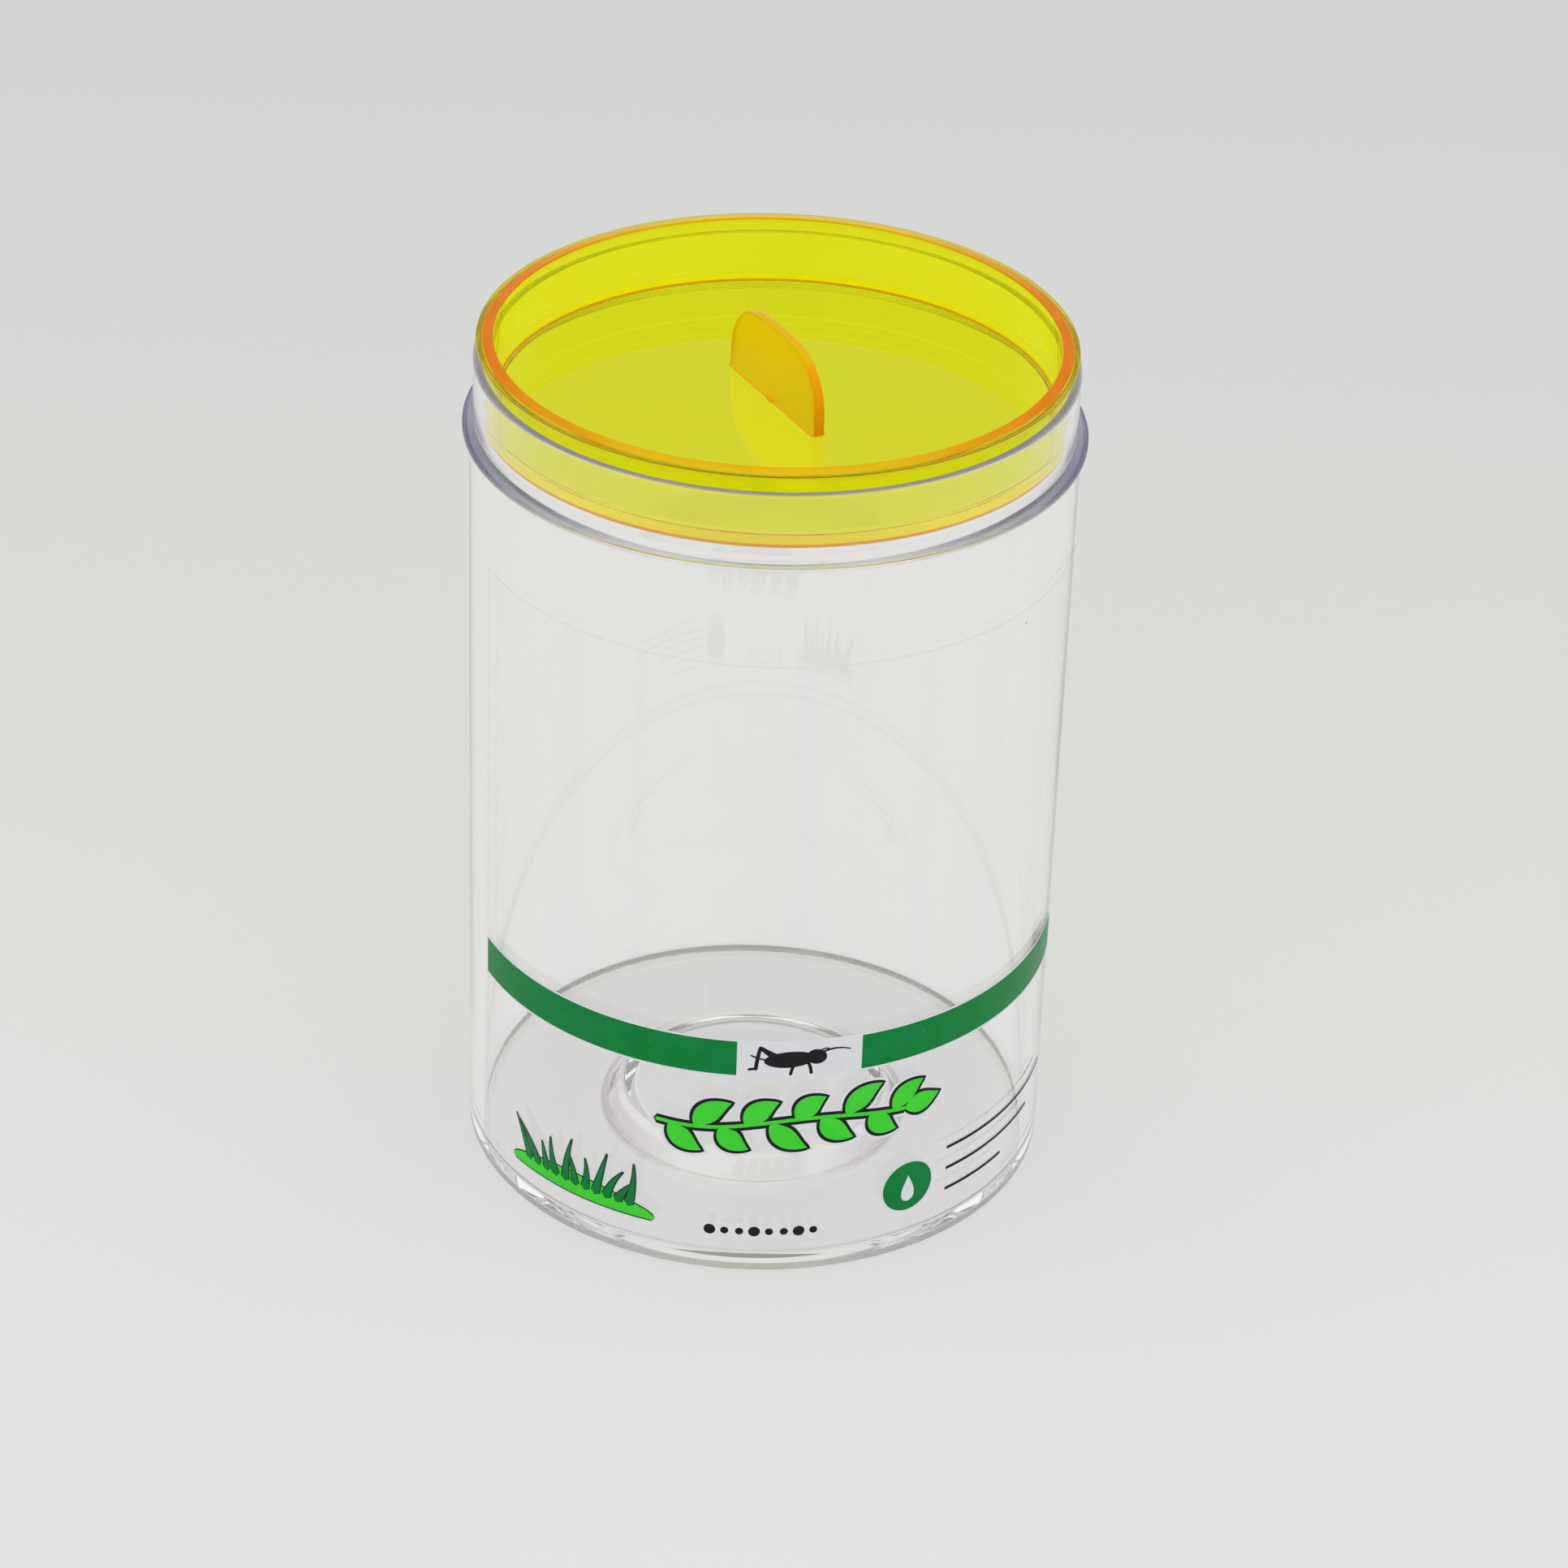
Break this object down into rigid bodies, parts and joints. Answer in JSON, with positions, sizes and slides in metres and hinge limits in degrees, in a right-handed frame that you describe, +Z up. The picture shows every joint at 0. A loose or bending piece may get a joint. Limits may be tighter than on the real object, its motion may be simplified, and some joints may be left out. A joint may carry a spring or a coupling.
{
  "type": "cricket keeper box",
  "caption": "Clear round push-lid jar for keeping feeder insects, with a flanged neck, a raised hub in its floor and a yellow dished lid with an upright finger tab.",
  "frame": {"origin": "centre of the jar's underside", "axes": "+Z up along the jar's axis, -Y towards the printed front"},
  "size_m": [0.0816, 0.0816, 0.1212],
  "materials": {
    "clear_plastic": "polished clear polystyrene",
    "printed_film": "clear self-adhesive film with opaque print",
    "yellow_plastic": "polished transparent yellow polystyrene"
  },
  "bodies": {
    "jar": {"jar": "clear_plastic", "label_film": "printed_film"},
    "lid": {"lid": "yellow_plastic"}
  },
  "joints": [
    {"name": "lid_lift", "type": "slide", "parent": "jar", "child": "lid", "axis": [0, 0, 1], "range_m": [0, 0.03]}
  ]
}
